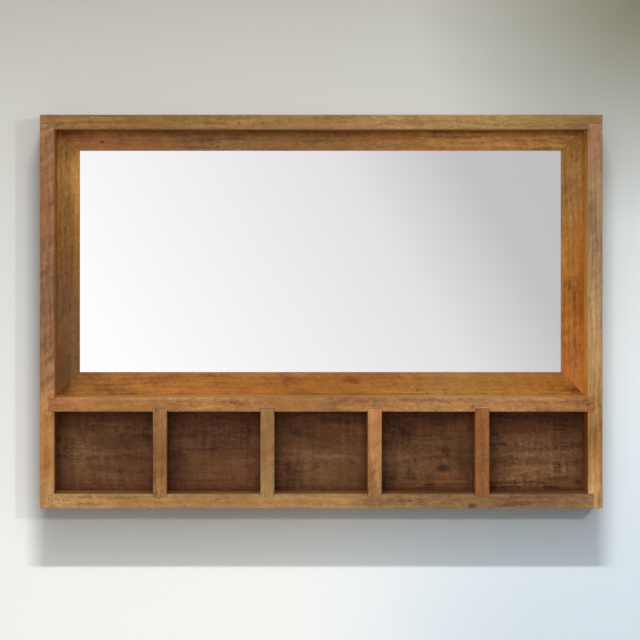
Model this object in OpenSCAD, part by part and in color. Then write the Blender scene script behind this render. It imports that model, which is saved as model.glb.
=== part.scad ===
// A wall shelf in solid wood. A mitred mirror frame is let into the upper bay of a box carcass,
// above a row of five open cubbies. The boards are housed, rebated and dowelled together, and the
// shelf hangs on two keyhole plates let into the back edges of its sides.
// Lengths are in millimetres. +X is to the right as seen from the front, -Y is towards the viewer
// and +Z is up. The origin lies on the wall, behind the middle of the top board.

/* [Carcass] */
// Width over the two sides
body_w = 1000; // [900:10:1300]
// Height from the underside of the sides to the top face
body_h = 700; // [600:10:900]
// Depth from the wall to the front edges
body_d = 100; // [80:5:150]
// Thickness of the top, bottom, side and shelf boards
board_t = 26; // [22:1:32]
// How far every eased edge is cut back
arris = 1.5; // [0.5:0.5:3]
// Glue line left between two pieces that are joined
glue_line = 0.1; // [0.05:0.05:0.2]

/* [Cubbies] */
// Clear height of the cubby row
cubby_h = 146; // [100:2:220]
// Clear width of the first and the last cubby
end_cubby_w = 175; // [140:5:200]
// Thickness of the dividers
divider_t = 25; // [18:1:32]

/* [Carcass joints] */
// Depth of the housings and rebates cut in the sides
side_housing = 10; // [6:1:12]
// Depth of the rebates under the top board, for the sides and the mirror frame
top_lap = 10; // [6:1:12]
// Depth of the housings that hold the dividers
divider_housing = 6; // [4:1:8]
// Diameter of the hidden dowels
dowel_d = 8; // [6:1:10]
// Length of the hidden dowels
dowel_l = 24; // [20:1:36]
// How deep a dowel goes into the outer board
dowel_in = 8; // [6:1:10]
// Distance of the front dowels from the front edges
dowel_front = 25; // [15:1:35]
// Distance of the rear dowels from the wall
dowel_back = 35; // [26:1:40]

/* [Cubby back] */
// Thickness of the panel behind the cubbies
panel_t = 12; // [6:1:14]
// Gap between the panel and the wall
panel_set = 1; // [0.5:0.5:3]
// Width of the other rear rebates that hold the panel and the mirror frame
rebate_w = 6; // [4:1:8]
// Distance of a panel screw from the cubby floor or roof
panel_screw_inset = 35; // [15:1:45]
// Length of the panel screws
panel_screw_l = 30; // [20:1:40]

/* [Mirror frame] */
// Thickness of the frame from front to back
frame_t = 16; // [15:1:22]
// Gap between the back of the frame and the wall
frame_set = 3; // [2.5:0.5:6]
// Width of the frame's members
member_w = 46.5; // [38:0.5:66]
// How far the frame laps over the edge of the glass
sight_lip = 8; // [5:1:12]
// Thickness of the mirror glass
glass_t = 4; // [3:1:6]
// Thickness of the board behind the glass
backing_t = 6; // [3:1:8]
// Room left round the glass and the backing board
glass_room = 0.5; // [0.2:0.1:1]
// Thickness of the keys let into the mitres
key_t = 3; // [2:0.5:5]
// Length of a key along the outer edge of the frame
key_leg = 40; // [25:1:50]

/* [Frame fixings] */
// Diameter of the pins that hold the frame in the carcass
pin_d = 1.6; // [1.2:0.1:2]
// Length of the pins
pin_l = 30; // [26:1:45]
// Distance of the last pin from the corner of the frame
pin_inset = 90; // [60:5:140]
// Width of a mirror clip
clip_w = 12; // [10:1:16]
// Thickness of a mirror clip
clip_t = 1; // [0.8:0.1:1.2]
// How far a clip reaches in over the backing board
clip_reach = 12; // [8:1:20]
// Distance of a clip's screw from the edge of the glass bed
clip_screw_at = 10; // [8:1:14]
// Distance of the last clip from the corner of the glass bed
clip_inset = 140; // [60:5:200]
// Shank diameter of the clip screws
clip_screw_d = 2.9; // [2.5:0.1:3.5]
// Length of the clip screws under the head
clip_screw_l = 12; // [9:1:13]

/* [Hangers] */
// Distance of the hangers' middle from the top face
hanger_drop = 100; // [70:5:200]
// Width of a hanger plate
plate_w = 15; // [13:0.5:15.5]
// Length of a hanger plate
plate_l = 52; // [50:1:70]
// Thickness of a hanger plate
plate_t = 2; // [1.9:0.1:3]
// Diameter of the hole that the head of the wall screw enters
entry_d = 10; // [8:0.5:10]
// Width of the slot that then holds the wall screw
slot_w = 5; // [4:0.5:5.5]
// How far the slot runs up from the middle of the entry hole
slot_run = 12; // [8:0.5:14]
// Depth of the pocket for the head, behind the plate
head_pocket = 9; // [6:1:15]
// Distance of a hanger screw from the end of its plate
plate_screw_inset = 5.5; // [5:0.5:6]
// Length of the hanger screws
hanger_screw_l = 20; // [15:1:30]

/* [Screws] */
// Shank diameter of the countersunk screws
screw_d = 3.5; // [3:0.1:4]
// Head diameter of the countersunk screws
screw_head_d = 6.8; // [6:0.1:7]
// Room round a screw, pin or dowel in its hole
hole_room = 0.1; // [0.05:0.05:0.2]

/* [Hidden] */
$fn = 48;

// How far a cutter runs out past the face that it cuts
over = 1;
dividers = 4;
pins_per_rail = 4;
pins_per_stile = 2;
clips_per_rail = 3;

// Carcass faces, from the middle outwards and from the top down
half_w = body_w / 2;
inner_x = half_w - board_t;
housed_x = inner_x + side_housing;
top_z = board_t / 2;
bay_roof_z = top_z - board_t;
side_top_z = bay_roof_z + top_lap;
bottom_z = top_z - body_h;
cubby_floor_z = bottom_z + board_t;
cubby_roof_z = cubby_floor_z + cubby_h;
bay_floor_z = cubby_roof_z + board_t;
mid_cubby_w = (2 * (inner_x - end_cubby_w) - dividers * divider_t) / (dividers - 1);

// Rear pockets that the cubby back and the mirror frame sit in
pocket_x = inner_x + rebate_w;
panel_back_y = -panel_set;
panel_front_y = panel_back_y - panel_t;
frame_back_y = -frame_set;
frame_front_y = frame_back_y - frame_t;

// Outer edges of the mirror frame, its sight opening and the bed cut for the glass
frame_x = pocket_x - glue_line;
frame_low_z = bay_floor_z - rebate_w + glue_line;
frame_high_z = side_top_z - glue_line;
frame_mid_z = (frame_low_z + frame_high_z) / 2;
sight_x = frame_x - member_w;
sight_low_z = frame_low_z + member_w;
sight_high_z = frame_high_z - member_w;
bed_x = sight_x + sight_lip;
bed_low_z = sight_low_z - sight_lip;
bed_high_z = sight_high_z + sight_lip;
backing_front_y = frame_back_y - backing_t;
glass_back_y = backing_front_y - glue_line;
glass_front_y = glass_back_y - glass_t;
bed_y = glass_front_y - glue_line;

// Pins stand in the middle of the strip where the frame laps its rebate
pin_edge = rebate_w / 2;
pin_tip = 2;

// Keyhole plates stand in the middle of what the rebate leaves of a side's back edge, and the
// keyhole in the middle of its plate
hanger_x = (pocket_x + half_w) / 2;
hanger_z = top_z - hanger_drop;
entry_at = (entry_d / 2 - slot_run - slot_w / 2) / 2;
pocket_room = 0.3;
plate_screw_at = plate_l / 2 - plate_screw_inset;

// Screw heads, points and cross recesses
head_rim = 0.3;
screw_tip = 4;
recess_w = 0.9;
recess_l = 4;
recess_depth = 1.2;
pan_head_d = 5.6;
pan_head_h = 1.3;
pan_recess_depth = 0.8;
dowel_end_room = 0.5;
dowel_chamfer = 1;

side_brown = [0.62, 0.43, 0.26];
top_brown = [0.58, 0.41, 0.25];
shelf_brown = [0.65, 0.45, 0.28];
back_brown = [0.36, 0.24, 0.16];
frame_amber = [0.60, 0.39, 0.20];
key_tan = [0.74, 0.58, 0.38];
board_tan = [0.67, 0.56, 0.42];
silver = [0.88, 0.88, 0.91];
zinc = [0.72, 0.72, 0.70];
steel = [0.55, 0.55, 0.56];

// n places spread evenly from -half to half, or one place in the middle
function spread(n, half) = n == 1 ? [0] : [for (i = [0:n - 1]) half * (2 * i / (n - 1) - 1)];

// Left face of divider i, counted from the left
function divider_left(i) = -inner_x + end_cubby_w + (i - 1) * (mid_cubby_w + divider_t);

// Left and right walls of cubby i, counted from the left
function cubby_left(i) = i == 1 ? -inner_x : divider_left(i - 1) + divider_t;
function cubby_right(i) = i == dividers + 1 ? inner_x : divider_left(i);

// Drawing helpers

// A block from its lowest to its highest corner
module slab(low, high) {
    translate(low)
        cube(high - low);
}

// A front elevation, drawn as [x, z], given a thickness from y_back towards the viewer
module upright(y_back, thick) {
    translate([0, y_back, 0])
        rotate([90, 0, 0])
            linear_extrude(thick)
                children();
}

// A side elevation, drawn as [y, z], run along X
module along_x(x_from, x_to) {
    translate([x_from, 0, 0])
        rotate([90, 0, 90])
            linear_extrude(x_to - x_from)
                children();
}

// A strip with round ends, centred on two heights
module capsule(r, low, high) {
    for (z = [low, high])
        translate([0, z])
            circle(r);
    translate([-r, low])
        square([2 * r, high - low]);
}

// A turned piece along -Y, drawn as [radius, depth behind the surface]
module turned(outline) {
    rotate([90, 0, 0])
        rotate_extrude()
            polygon(outline);
}

// Eased edges

// The carcass's outer block, with the edges of its front face and its four corners eased
module eased_block() {
    intersection() {
        upright(0, body_d)
            polygon([
                [-half_w + arris, bottom_z], [half_w - arris, bottom_z],
                [half_w, bottom_z + arris], [half_w, top_z - arris],
                [half_w - arris, top_z], [-half_w + arris, top_z],
                [-half_w, top_z - arris], [-half_w, bottom_z + arris]
            ]);
        translate([0, 0, bottom_z])
            linear_extrude(body_h)
                polygon([
                    [-half_w, 0], [-half_w, arris - body_d], [-half_w + arris, -body_d],
                    [half_w - arris, -body_d], [half_w, arris - body_d], [half_w, 0]
                ]);
        along_x(-half_w, half_w)
            polygon([
                [0, bottom_z], [0, top_z], [arris - body_d, top_z],
                [-body_d, top_z - arris], [-body_d, bottom_z + arris], [arris - body_d, bottom_z]
            ]);
    }
}

// Eases the edges of a rectangular opening where it breaks out through the face at y_face
module flare(left, right, low, high, y_face) {
    spread_out = arris + over;
    intersection() {
        translate([0, 0, low - spread_out])
            linear_extrude(high - low + 2 * spread_out)
                polygon([
                    [left, y_face + arris], [right, y_face + arris],
                    [right + spread_out, y_face - over], [left - spread_out, y_face - over]
                ]);
        along_x(left - spread_out, right + spread_out)
            polygon([
                [y_face + arris, low], [y_face + arris, high],
                [y_face - over, high + spread_out], [y_face - over, low - spread_out]
            ]);
    }
}

// The mirror bay and the five cubbies, where they open through the front
module front_flares() {
    flare(-inner_x, inner_x, bay_floor_z, bay_roof_z, -body_d);
    for (i = [1:dividers + 1])
        flare(cubby_left(i), cubby_right(i), cubby_floor_z, cubby_roof_z, -body_d);
}

// Cuts shared by the carcass boards

// The pockets that the mirror frame and the cubby back sit in
module rear_pockets() {
    slab([-pocket_x, frame_front_y - glue_line, bay_floor_z - rebate_w],
         [pocket_x, over, side_top_z]);
    slab([-pocket_x, panel_front_y - glue_line, cubby_floor_z - rebate_w],
         [pocket_x, over, cubby_roof_z + rebate_w]);
}

// The housings for the dividers, in the bottom board and in the shelf
module divider_housings() {
    for (i = [1:dividers])
        slab([divider_left(i) - glue_line, -body_d - over, cubby_floor_z - divider_housing],
             [divider_left(i) + divider_t + glue_line, panel_front_y, cubby_roof_z + divider_housing]);
}

// Fasteners and their holes

// A dowel along +Z, which crosses the joint at z = 0
module dowel() {
    tail = dowel_l - dowel_in;
    r = dowel_d / 2;
    translate([0, 0, -tail])
        rotate_extrude()
            polygon([
                [0, 0], [r - dowel_chamfer, 0], [r, dowel_chamfer], [r, dowel_l - dowel_chamfer],
                [r - dowel_chamfer, dowel_l], [0, dowel_l]
            ]);
}

module dowel_hole() {
    translate([0, 0, dowel_in - dowel_l - dowel_end_room])
        cylinder(d = dowel_d + 2 * hole_room, h = dowel_l + 2 * dowel_end_room);
}

// Two dowels at each end of the top board, the shelf and the bottom board
module at_dowels() {
    for (s = [-1, 1], y = [dowel_front - body_d, -dowel_back]) {
        translate([s * (inner_x + board_t / 2), y, side_top_z])
            children();
        for (z = [bottom_z, cubby_roof_z])
            translate([s * housed_x, y, z + board_t / 2])
                rotate([0, s * 90, 0])
                    children();
    }
}

// A cross recess cut down from the top of a screw head at depth 0
module cross_recess(depth) {
    for (a = [0, 90])
        rotate([0, a, 0])
            translate([-recess_l / 2, -depth, -recess_w / 2])
                cube([recess_l, depth + over, recess_w]);
}

// A countersunk screw driven along -Y, its head flush with y = 0
module countersunk_screw(length) {
    shank_r = screw_d / 2;
    head_r = screw_head_d / 2;
    cone = head_r - shank_r;
    difference() {
        turned([
            [0, 0], [head_r, 0], [head_r, head_rim], [shank_r, head_rim + cone],
            [shank_r, length - screw_tip], [0, length]
        ]);
        cross_recess(recess_depth);
    }
}

module countersunk_hole(length) {
    shank_r = screw_d / 2 + hole_room;
    head_r = screw_head_d / 2 + hole_room;
    cone = head_r - shank_r;
    turned([
        [0, -over], [head_r, -over], [head_r, head_rim + hole_room],
        [shank_r, head_rim + hole_room + cone], [shank_r, length + hole_room], [0, length + hole_room]
    ]);
}

// Two screws in the back edge of each divider
module at_panel_screws() {
    for (i = [1:dividers], z = [cubby_floor_z + panel_screw_inset, cubby_roof_z - panel_screw_inset])
        translate([divider_left(i) + divider_t / 2, panel_back_y, z])
            children();
}

// Pins through the rim of the mirror frame into the carcass
module at_frame_pins() {
    for (x = spread(pins_per_rail, frame_x - pin_inset))
        for (z = [frame_low_z + pin_edge, frame_high_z - pin_edge])
            translate([x, frame_back_y, z])
                children();
    for (z = spread(pins_per_stile, (frame_high_z - frame_low_z) / 2 - pin_inset))
        for (s = [-1, 1])
            translate([s * (frame_x - pin_edge), frame_back_y, frame_mid_z + z])
                children();
}

module frame_pin_holes() {
    at_frame_pins()
        rotate([90, 0, 0])
            translate([0, 0, -over])
                cylinder(d = pin_d + 2 * hole_room, h = pin_l + over + hole_room);
}

// Clips stand on the edge of the glass bed and point in over the backing board
module at_clips() {
    for (x = spread(clips_per_rail, bed_x - clip_inset)) {
        translate([x, frame_back_y, bed_low_z])
            children();
        translate([x, frame_back_y, bed_high_z])
            rotate([0, 180, 0])
                children();
    }
    for (s = [-1, 1])
        translate([s * bed_x, frame_back_y, frame_mid_z])
            rotate([0, -s * 90, 0])
                children();
}

module clip_screw_holes() {
    at_clips()
        translate([0, 0, -clip_screw_at])
            rotate([90, 0, 0])
                translate([0, 0, -over])
                    cylinder(d = clip_screw_d + 2 * hole_room, h = clip_screw_l + over);
}

// Carcass

// The top board runs over both sides, its ends rebated from below to take them
module top_board() {
    color(top_brown)
        difference() {
            intersection() {
                slab([-half_w, -body_d, bay_roof_z], [half_w, 0, top_z]);
                eased_block();
            }
            for (s = [0, 1])
                mirror([s, 0, 0])
                    slab([inner_x - glue_line, -body_d - over, bay_roof_z - over],
                         [half_w + over, over, side_top_z]);
            rear_pockets();
            front_flares();
            at_dowels()
                dowel_hole();
            frame_pin_holes();
        }
}

// The right side. The shelf is housed in it, the bottom board lies in a rebate at its foot, and
// its back edge is cut for the mirror frame, the cubby back and a keyhole plate.
module side() {
    difference() {
        intersection() {
            slab([inner_x, -body_d, bottom_z], [half_w, 0, side_top_z - glue_line]);
            eased_block();
        }
        slab([inner_x - over, -body_d - over, cubby_roof_z - glue_line],
             [housed_x, over, bay_floor_z + glue_line]);
        slab([inner_x - over, -body_d - over, bottom_z - over],
             [housed_x, over, cubby_floor_z + glue_line]);
        rear_pockets();
        front_flares();
        at_dowels()
            dowel_hole();
        frame_pin_holes();
        hanger_recess();
    }
}

module right_side() {
    color(side_brown)
        side();
}

module left_side() {
    color(side_brown)
        mirror([1, 0, 0])
            side();
}

// The bottom board carries the dividers in housings, its ends let into the sides
module bottom_board() {
    color(side_brown)
        difference() {
            intersection() {
                slab([glue_line - housed_x, -body_d, bottom_z], [housed_x - glue_line, 0, cubby_floor_z]);
                eased_block();
            }
            divider_housings();
            rear_pockets();
            front_flares();
            at_dowels()
                dowel_hole();
        }
}

// The shelf between the mirror bay and the cubbies
module middle_shelf() {
    color(shelf_brown)
        difference() {
            slab([glue_line - housed_x, -body_d, cubby_roof_z], [housed_x - glue_line, 0, bay_floor_z]);
            divider_housings();
            rear_pockets();
            front_flares();
            at_dowels()
                dowel_hole();
            frame_pin_holes();
        }
}

// Divider i stands in its two housings, in front of the cubby back
module divider(i) {
    color(side_brown)
        difference() {
            slab([divider_left(i), -body_d, cubby_floor_z - divider_housing + glue_line],
                 [divider_left(i) + divider_t, panel_front_y - glue_line,
                  cubby_roof_z + divider_housing - glue_line]);
            front_flares();
            at_panel_screws()
                countersunk_hole(panel_screw_l);
        }
}

// The panel behind the cubbies, let into the rear rebates all round
module cubby_back_panel() {
    color(back_brown)
        difference() {
            slab([glue_line - pocket_x, panel_front_y, cubby_floor_z - rebate_w + glue_line],
                 [pocket_x - glue_line, panel_back_y, cubby_roof_z + rebate_w - glue_line]);
            at_panel_screws()
                countersunk_hole(panel_screw_l);
        }
}

module back_panel_screws() {
    color(zinc)
        at_panel_screws()
            countersunk_screw(panel_screw_l);
}

module carcass_dowels() {
    color(key_tan)
        at_dowels()
            dowel();
}

// Mirror frame

// Triangles in the four corners of the frame, run out past its edges by reach
module corner_plates(leg, thick, reach) {
    for (s = [-1, 1], up = [-1, 1]) {
        corner = [s * (frame_x + reach), up > 0 ? frame_high_z + reach : frame_low_z - reach];
        upright(frame_back_y - (frame_t - thick) / 2, thick)
            polygon([corner, corner - [s * leg, 0], corner - [0, up * leg]]);
    }
}

// One member: an outline mitred at both ends, with a bed for the glass cut in its back, kerfs
// for the keys, and its sight edge eased
module frame_member(outline) {
    color(frame_amber)
        difference() {
            upright(frame_back_y, frame_t)
                polygon(outline);
            slab([-bed_x, bed_y, bed_low_z], [bed_x, over, bed_high_z]);
            flare(-sight_x, sight_x, sight_low_z, sight_high_z, frame_front_y);
            corner_plates(key_leg + 2 * over + glue_line, key_t + 2 * glue_line, over);
            frame_pin_holes();
            clip_screw_holes();
        }
}

// A rail's outline, from its outer edge at z_out to its sight edge at z_in
module frame_rail(z_out, z_in) {
    mitre = glue_line / 2;
    frame_member([
        [-frame_x + mitre, z_out], [frame_x - mitre, z_out],
        [sight_x - mitre, z_in], [-sight_x + mitre, z_in]
    ]);
}

// A stile's outline, on the right for s = 1 and on the left for s = -1
module frame_stile(s) {
    mitre = glue_line / 2;
    frame_member([
        [s * frame_x, frame_low_z + mitre], [s * frame_x, frame_high_z - mitre],
        [s * sight_x, sight_high_z - mitre], [s * sight_x, sight_low_z + mitre]
    ]);
}

module frame_top_rail() {
    frame_rail(frame_high_z, sight_high_z);
}

module frame_bottom_rail() {
    frame_rail(frame_low_z, sight_low_z);
}

module frame_left_stile() {
    frame_stile(-1);
}

module frame_right_stile() {
    frame_stile(1);
}

// Keys glued into kerfs across the mitres
module mitre_keys() {
    color(key_tan)
        corner_plates(key_leg, key_t, 0);
}

module frame_pins() {
    r = pin_d / 2;
    color(steel)
        at_frame_pins()
            turned([[0, 0], [r, 0], [r, pin_l - pin_tip], [0, pin_l]]);
}

// Mirror, its backing and the clips that keep them in the frame

module mirror_glass() {
    color(silver)
        slab([glass_room - bed_x, glass_front_y, bed_low_z + glass_room],
             [bed_x - glass_room, glass_back_y, bed_high_z - glass_room]);
}

module mirror_backing_board() {
    color(board_tan)
        slab([glass_room - bed_x, backing_front_y, bed_low_z + glass_room],
             [bed_x - glass_room, frame_back_y, bed_high_z - glass_room]);
}

// A flat clip, round at its screwed end
module mirror_clips() {
    color(zinc)
        at_clips()
            upright(clip_t + glue_line, clip_t)
                difference() {
                    union() {
                        translate([0, -clip_screw_at])
                            circle(d = clip_w);
                        translate([-clip_w / 2, -clip_screw_at])
                            square([clip_w, clip_screw_at + clip_reach]);
                    }
                    translate([0, -clip_screw_at])
                        circle(d = clip_screw_d + 2 * hole_room);
                }
}

// Pan-head screws, their heads on the clips
module mirror_clip_screws() {
    shank_r = clip_screw_d / 2;
    head_r = pan_head_d / 2;
    dome = pan_head_h / 2;
    under_head = clip_t + 2 * glue_line;
    color(steel)
        at_clips()
            translate([0, under_head, -clip_screw_at])
                difference() {
                    turned([
                        [0, -pan_head_h], [head_r - dome, -pan_head_h], [head_r, -pan_head_h + dome],
                        [head_r, 0], [shank_r, 0], [shank_r, clip_screw_l - pin_tip], [0, clip_screw_l]
                    ]);
                    translate([0, pan_head_h, 0])
                        cross_recess(pan_recess_depth);
                }
}

// Keyhole hangers

// Where the two screws of the right hanger plate go
module at_plate_screws() {
    for (z = [-plate_screw_at, plate_screw_at])
        translate([hanger_x, 0, hanger_z + z])
            children();
}

// The outline of the right plate, grown by room all round
module plate_outline(room) {
    straight = (plate_l - plate_w) / 2;
    translate([hanger_x, hanger_z])
        capsule(plate_w / 2 + room, -straight, straight);
}

// The bed for the right plate, the pocket for the wall screw's head and the screw holes
module hanger_recess() {
    upright(over, plate_t + glue_line + over)
        plate_outline(glue_line);
    upright(over, plate_t + head_pocket + over)
        translate([hanger_x, hanger_z])
            capsule(entry_d / 2 + pocket_room, entry_at, entry_at + slot_run);
    at_plate_screws()
        countersunk_hole(hanger_screw_l);
}

// A plate with a round entry hole, a slot up from it and two countersunk holes
module hanger_plate() {
    color(zinc)
        difference() {
            upright(0, plate_t)
                difference() {
                    plate_outline(0);
                    translate([hanger_x, hanger_z + entry_at])
                        circle(d = entry_d);
                    translate([hanger_x, hanger_z])
                        capsule(slot_w / 2, entry_at, entry_at + slot_run);
                }
            at_plate_screws()
                countersunk_hole(hanger_screw_l);
        }
}

module hanger_plate_right() {
    hanger_plate();
}

module hanger_plate_left() {
    mirror([1, 0, 0])
        hanger_plate();
}

module hanger_screws() {
    color(steel)
        for (s = [0, 1])
            mirror([s, 0, 0])
                at_plate_screws()
                    countersunk_screw(hanger_screw_l);
}

top_board();
left_side();
right_side();
bottom_board();
middle_shelf();
divider(1);  // divider_1
divider(2);  // divider_2
divider(3);  // divider_3
divider(4);  // divider_4
cubby_back_panel();
frame_top_rail();
frame_bottom_rail();
frame_left_stile();
frame_right_stile();
mitre_keys();
frame_pins();
mirror_glass();
mirror_backing_board();
mirror_clips();
mirror_clip_screws();
back_panel_screws();
hanger_plate_left();
hanger_plate_right();
hanger_screws();
carcass_dowels();
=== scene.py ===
# A wall shelf in solid mango wood: a mitred mirror frame in the upper bay of a box carcass, above
# five open cubbies. Metres; +X is to the right, -Y towards the viewer and +Z up. The wall is y = 0.
import math

import bmesh
import bpy
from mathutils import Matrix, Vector, noise


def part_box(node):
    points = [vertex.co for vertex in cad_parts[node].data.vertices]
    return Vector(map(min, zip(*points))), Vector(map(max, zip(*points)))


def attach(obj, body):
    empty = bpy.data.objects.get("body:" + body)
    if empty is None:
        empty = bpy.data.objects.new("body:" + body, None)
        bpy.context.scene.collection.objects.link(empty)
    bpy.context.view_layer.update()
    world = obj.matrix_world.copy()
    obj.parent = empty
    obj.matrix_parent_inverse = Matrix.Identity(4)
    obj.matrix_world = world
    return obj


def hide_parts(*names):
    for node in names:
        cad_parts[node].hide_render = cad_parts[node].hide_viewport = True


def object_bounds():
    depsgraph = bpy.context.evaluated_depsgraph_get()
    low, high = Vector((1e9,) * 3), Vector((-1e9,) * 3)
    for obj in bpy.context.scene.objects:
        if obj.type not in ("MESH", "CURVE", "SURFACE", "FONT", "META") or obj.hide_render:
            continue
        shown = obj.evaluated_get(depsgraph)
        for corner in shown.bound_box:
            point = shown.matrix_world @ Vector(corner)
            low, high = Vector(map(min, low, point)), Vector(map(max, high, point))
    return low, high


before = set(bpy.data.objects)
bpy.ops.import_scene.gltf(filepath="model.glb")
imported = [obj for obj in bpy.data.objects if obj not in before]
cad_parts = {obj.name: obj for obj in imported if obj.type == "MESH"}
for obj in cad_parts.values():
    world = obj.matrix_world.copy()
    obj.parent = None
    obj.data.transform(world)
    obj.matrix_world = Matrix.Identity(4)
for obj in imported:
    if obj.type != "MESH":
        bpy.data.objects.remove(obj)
sawn_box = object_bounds()


# Camera. It looks square at the wall from six metres in front of the shelf, a little to the left
# of its middle and level with the mirror, as the strips of the inner faces in the photograph show.
def placed(name, data):
    """A new object in the scene."""
    thing = bpy.data.objects.new(name, data)
    bpy.context.scene.collection.objects.link(thing)
    return thing


EYE = (-0.105, -6.1, -0.175)
camera = placed("camera", bpy.data.cameras.new("camera"))
camera.location = EYE
camera.rotation_euler = (math.radians(90), 0, 0)
camera.data.sensor_width = 36
camera.data.lens = 190.0
camera.data.shift_x = 0.0905
camera.data.shift_y = -0.1556
camera.data.clip_end = 50
bpy.context.scene.camera = camera
bpy.context.scene.view_settings.view_transform = "Standard"


# Room. A pale floor a metre below the shelf and a painted wall behind it, greyed upwards and
# towards the top right by painted shade. Only a camera in front sees the wall, and only one above
# sees the floor, so the back and the underside can be looked at through them.
def on_screen(red, green, blue):
    """A colour as it looks on screen, 0 to 255, as the linear colour that a socket takes."""
    parts = [c / 255 for c in (red, green, blue)]
    return tuple(c / 12.92 if c < 0.04045 else ((c + 0.055) / 1.055) ** 2.4 for c in parts) + (1.0,)


def add(recipe, kind, sockets=None, **settings):
    """A node of that kind with its settings, each socket linked to another's output or given a value."""
    node = recipe.nodes.new(kind)
    for name, value in settings.items():
        setattr(node, name, value)
    for name, value in (sockets or {}).items():
        if isinstance(value, bpy.types.NodeSocket):
            recipe.links.new(value, node.inputs[name])
        else:
            node.inputs[name].default_value = value
    return node


def reckon(recipe, operation, first, second=0.0, third=0.0):
    """The value of a Math node."""
    return add(recipe, "ShaderNodeMath", {0: first, 1: second, 2: third}, operation=operation).outputs[0]


def shade(recipe, share, first, second):
    """The colour that share takes from the first towards the second."""
    return add(recipe, "ShaderNodeMix", {"Factor": share, "A": first, "B": second},
               data_type="RGBA").outputs["Result"]


def blank_finish(name):
    """A material with nothing in it yet, and the recipe of nodes to fill."""
    finish = bpy.data.materials.new(name)
    finish.use_nodes = True
    finish.node_tree.nodes.clear()
    return finish, finish.node_tree


def coat_with(recipe, shader):
    """Makes that shader the whole finish."""
    add(recipe, "ShaderNodeOutputMaterial", {"Surface": shader})


def here_on(recipe):
    """The place on the piece, in metres."""
    return add(recipe, "ShaderNodeTexCoord").outputs["Object"]


def noise_at(recipe, place, per_metre, detail=2.0, roughness=0.5):
    """Noise with so many waves in a metre."""
    sockets = {"Vector": place, "Scale": per_metre, "Detail": detail, "Roughness": roughness}
    return add(recipe, "ShaderNodeTexNoise", sockets).outputs


def evenly(recipe, value, start, end):
    """0 at start and 1 at end, and an even rise between."""
    return add(recipe, "ShaderNodeMapRange", {"Value": value, "From Min": start, "From Max": end}).outputs[0]


def above(recipe, value, low, high):
    """0 below low and 1 above high, with a smooth step between."""
    sockets = {"Value": value, "From Min": low, "From Max": high}
    return add(recipe, "ShaderNodeMapRange", sockets, interpolation_type="SMOOTHSTEP").outputs[0]


def distance_to(recipe, place, other):
    """How far a place lies from another."""
    return add(recipe, "ShaderNodeVectorMath", {0: place, 1: other}, operation="DISTANCE").outputs["Value"]


def bumped(recipe, height, strength, depth):
    """The normal of a surface that height raises by up to depth."""
    sockets = {"Height": height, "Strength": strength, "Distance": depth}
    return add(recipe, "ShaderNodeBump", sockets).outputs[0]


def sheet_of(name, corners, finish):
    """A flat four-cornered sheet for the room."""
    mesh = bpy.data.meshes.new(name)
    mesh.from_pydata(corners, [], [(0, 1, 2, 3)])
    mesh.materials.append(finish)
    sheet = placed(name, mesh)
    return sheet


FLOOR_Z = -1.6875
WALL_TOP = 3.0
ROOM_HALF = 6.0
WALL_GAP = 0.0005
SHADED_CORNER, COLD_CORNER = (0.6, 0.0, 0.25), (0.6, 0.0, -1.0)

wall_paint, recipe = blank_finish("wall_paint")
here = here_on(recipe)
apart = add(recipe, "ShaderNodeSeparateXYZ", {0: here}).outputs
bluer = evenly(recipe, apart["X"], -0.1, 0.5)
# Painted shade greys the wall upwards and darkens it towards its top right corner.
shaded_upwards = reckon(recipe, "POWER", evenly(recipe, apart["Z"], -1.0, 0.3), 1.3)
shaded_corner = evenly(recipe, distance_to(recipe, here, SHADED_CORNER), 0.44, 0.0)
colder = above(recipe, distance_to(recipe, here, COLD_CORNER), 0.7, 0.2)
paint_colour = shade(recipe, bluer, on_screen(199, 197, 194), on_screen(194, 199, 201))
for share, colour in ((shaded_upwards, (124, 121, 114)), (shaded_corner, (84, 81, 65)), (colder, (172, 178, 184))):
    paint_colour = shade(recipe, share, paint_colour, on_screen(*colour))
roller_marks = bumped(recipe, noise_at(recipe, here, 220.0)[0], 0.08, 0.001)
paint = add(recipe, "ShaderNodeBsdfDiffuse", {"Color": paint_colour, "Normal": roller_marks}).outputs[0]
behind = add(recipe, "ShaderNodeNewGeometry").outputs["Backfacing"]
looked_at = add(recipe, "ShaderNodeLightPath").outputs["Is Camera Ray"]
seen = reckon(recipe, "MULTIPLY", looked_at, reckon(recipe, "SUBTRACT", 1.0, behind))
clear = add(recipe, "ShaderNodeBsdfTransparent").outputs[0]
coat_with(recipe, add(recipe, "ShaderNodeMixShader", {0: seen, 1: clear, 2: paint}).outputs[0])
wall = sheet_of("wall", [(-ROOM_HALF, WALL_GAP, FLOOR_Z), (ROOM_HALF, WALL_GAP, FLOOR_Z),
                         (ROOM_HALF, WALL_GAP, WALL_TOP), (-ROOM_HALF, WALL_GAP, WALL_TOP)], wall_paint)

floor_paint, recipe = blank_finish("floor_paint")
mottle = noise_at(recipe, here_on(recipe), 1.5)[0]
floor_colour = shade(recipe, mottle, on_screen(214, 213, 209), on_screen(222, 221, 218))
matt = add(recipe, "ShaderNodeBsdfDiffuse", {"Color": floor_colour}).outputs[0]
plain = add(recipe, "ShaderNodeEmission", {"Color": floor_colour}).outputs[0]
looked_at = add(recipe, "ShaderNodeLightPath").outputs["Is Camera Ray"]
half_plain = reckon(recipe, "MULTIPLY", looked_at, 0.5)
painted = add(recipe, "ShaderNodeMixShader", {0: half_plain, 1: matt, 2: plain}).outputs[0]
behind = add(recipe, "ShaderNodeNewGeometry").outputs["Backfacing"]
from_below = reckon(recipe, "MULTIPLY", looked_at, behind)
clear = add(recipe, "ShaderNodeBsdfTransparent").outputs[0]
coat_with(recipe, add(recipe, "ShaderNodeMixShader", {0: from_below, 1: painted, 2: clear}).outputs[0])
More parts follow.
